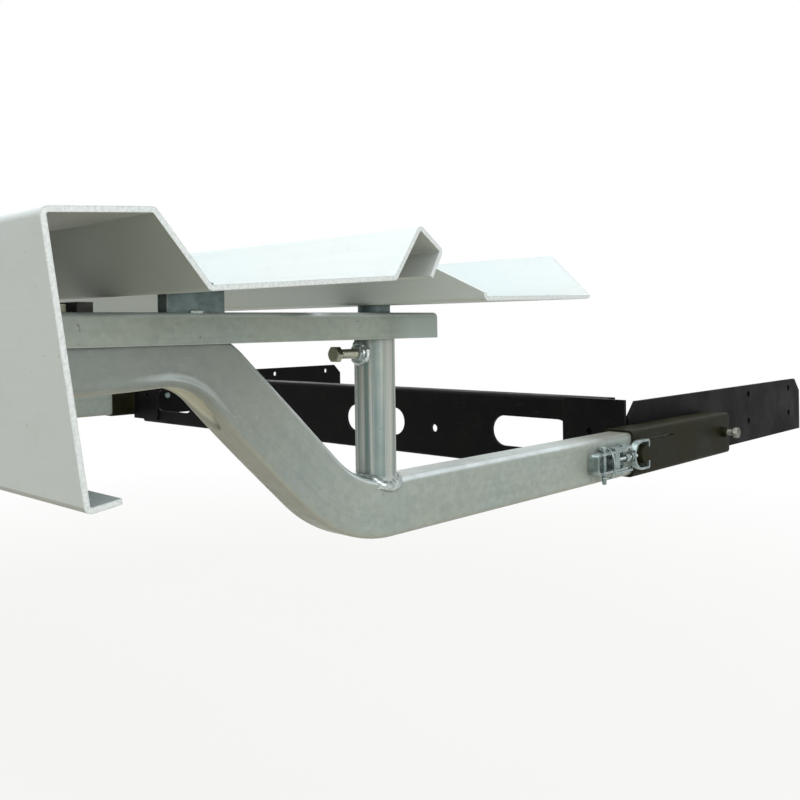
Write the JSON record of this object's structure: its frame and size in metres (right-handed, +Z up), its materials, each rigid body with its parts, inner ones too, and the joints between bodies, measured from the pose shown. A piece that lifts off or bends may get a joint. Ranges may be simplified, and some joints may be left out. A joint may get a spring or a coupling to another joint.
{
  "type": "scooter carrier",
  "caption": "Rear scooter carrier: folded wheel rail and height-adjustable front channel on two cranked arms that plug into sleeves joined by a slotted cross member, held by draw latches.",
  "frame": {"origin": "midway between the two round holes of the cross member, on its rear face", "axes": "+X to the vehicle's right, +Y forward along the vehicle, +Z up"},
  "size_m": [1.8, 1.6987, 0.3219],
  "materials": {
    "rail_sheet": "satin mill finish sheet",
    "galvanised_steel": "hot-dip galvanised, mottled satin",
    "zinc_steel": "blue zinc plate, satin",
    "black_paint": "black powder coat, matt",
    "yellow_zinc": "dull yellow zinc plate",
    "dark_pad": "matt",
    "bright_zinc": "bright zinc plate"
  },
  "bodies": {
    "frame": {"cross_member": "black_paint", "wheel_rail": "rail_sheet", "rail_screws": "yellow_zinc", "saddle_pads": "dark_pad", "saddle_bolts": "yellow_zinc", "socket_right": "black_paint", "end_bracket_right": "black_paint", "chassis_plate_right": "black_paint", "plate_bolts_right": "bright_zinc", "clamp_nut_right": "yellow_zinc", "catch_right": "black_paint", "arm_right": "galvanised_steel", "saddle_right": "galvanised_steel", "post_right": "galvanised_steel", "set_nut_right": "yellow_zinc", "support_block_right": "zinc_steel", "latch_base_right": "bright_zinc", "latch_screws_right": "bright_zinc", "pivot_rivets_right": "bright_zinc", "socket_left": "black_paint", "end_bracket_left": "black_paint", "chassis_plate_left": "black_paint", "plate_bolts_left": "bright_zinc", "clamp_nut_left": "yellow_zinc", "catch_left": "black_paint", "arm_left": "galvanised_steel", "saddle_left": "galvanised_steel", "post_left": "galvanised_steel", "set_nut_left": "yellow_zinc", "support_block_left": "zinc_steel", "latch_base_left": "bright_zinc", "latch_screws_left": "bright_zinc", "pivot_rivets_left": "bright_zinc"},
    "front_channel": {"front_rail": "rail_sheet", "front_rail_screws": "yellow_zinc", "levelling_tube_right": "zinc_steel", "tube_plug_right": "zinc_steel", "levelling_tube_left": "zinc_steel", "tube_plug_left": "zinc_steel"},
    "set_bolt_right": {"set_bolt_right": "yellow_zinc"},
    "clamp_bolt_right": {"clamp_bolt_right": "yellow_zinc"},
    "lever_right": {"lever_right": "bright_zinc"},
    "draw_hook_right": {"trunnion_right": "bright_zinc", "draw_rod_right": "bright_zinc", "rod_nuts_right": "bright_zinc", "claw_right": "bright_zinc"},
    "linch_pin_right": {"linch_pin_right": "bright_zinc"},
    "bail_right": {"bail_right": "bright_zinc"},
    "set_bolt_left": {"set_bolt_left": "yellow_zinc"},
    "clamp_bolt_left": {"clamp_bolt_left": "yellow_zinc"},
    "lever_left": {"lever_left": "bright_zinc"},
    "draw_hook_left": {"trunnion_left": "bright_zinc", "draw_rod_left": "bright_zinc", "rod_nuts_left": "bright_zinc", "claw_left": "bright_zinc"},
    "linch_pin_left": {"linch_pin_left": "bright_zinc"},
    "bail_left": {"bail_left": "bright_zinc"}
  },
  "joints": [
    {"name": "front_channel_height", "type": "slide", "parent": "frame", "child": "front_channel", "axis": [0, 0, 1], "range_m": [-0.005, 0.04]},
    {"name": "set_bolt_right_screw", "type": "slide", "parent": "frame", "child": "set_bolt_right", "axis": [0, -1, 0], "range_m": [0, 0.015]},
    {"name": "clamp_bolt_right_screw", "type": "slide", "parent": "frame", "child": "clamp_bolt_right", "axis": [1, 0, 0], "range_m": [0, 0.012]},
    {"name": "lever_right_swing", "type": "hinge", "parent": "frame", "child": "lever_right", "pos_m": [0.762, -0.109, -0.0015], "axis": [0, 0, 1], "range_deg": [0, 100]},
    {"name": "draw_hook_right_turn", "type": "hinge", "parent": "lever_right", "child": "draw_hook_right", "pos_m": [0.762, -0.129, -0.0015], "axis": [0, 0, 1], "range_deg": [-100, 0]},
    {"name": "linch_pin_right_lift", "type": "slide", "parent": "lever_right", "child": "linch_pin_right", "axis": [0, 0, 1], "range_m": [0, 0.004]},
    {"name": "bail_right_swing", "type": "hinge", "parent": "linch_pin_right", "child": "bail_right", "pos_m": [0.762, -0.159, 0.0163], "axis": [-0.5736, -0.8192, 0], "range_deg": [0, 110]},
    {"name": "set_bolt_left_screw", "type": "slide", "parent": "frame", "child": "set_bolt_left", "axis": [0, -1, 0], "range_m": [0, 0.015]},
    {"name": "clamp_bolt_left_screw", "type": "slide", "parent": "frame", "child": "clamp_bolt_left", "axis": [-1, 0, 0], "range_m": [0, 0.012]},
    {"name": "lever_left_swing", "type": "hinge", "parent": "frame", "child": "lever_left", "pos_m": [-0.762, -0.109, -0.0015], "axis": [0, 0, -1], "range_deg": [0, 100]},
    {"name": "draw_hook_left_turn", "type": "hinge", "parent": "lever_left", "child": "draw_hook_left", "pos_m": [-0.762, -0.129, -0.0015], "axis": [0, 0, -1], "range_deg": [-100, 0]},
    {"name": "linch_pin_left_lift", "type": "slide", "parent": "lever_left", "child": "linch_pin_left", "axis": [0, 0, 1], "range_m": [0, 0.004]},
    {"name": "bail_left_swing", "type": "hinge", "parent": "linch_pin_left", "child": "bail_left", "pos_m": [-0.762, -0.159, 0.0163], "axis": [-0.5736, 0.8192, 0], "range_deg": [0, 110]}
  ],
  "couplings": [
    {"joint": "draw_hook_right_turn", "follows": "lever_right_swing", "ratio": -1},
    {"joint": "draw_hook_left_turn", "follows": "lever_left_swing", "ratio": -1}
  ]
}
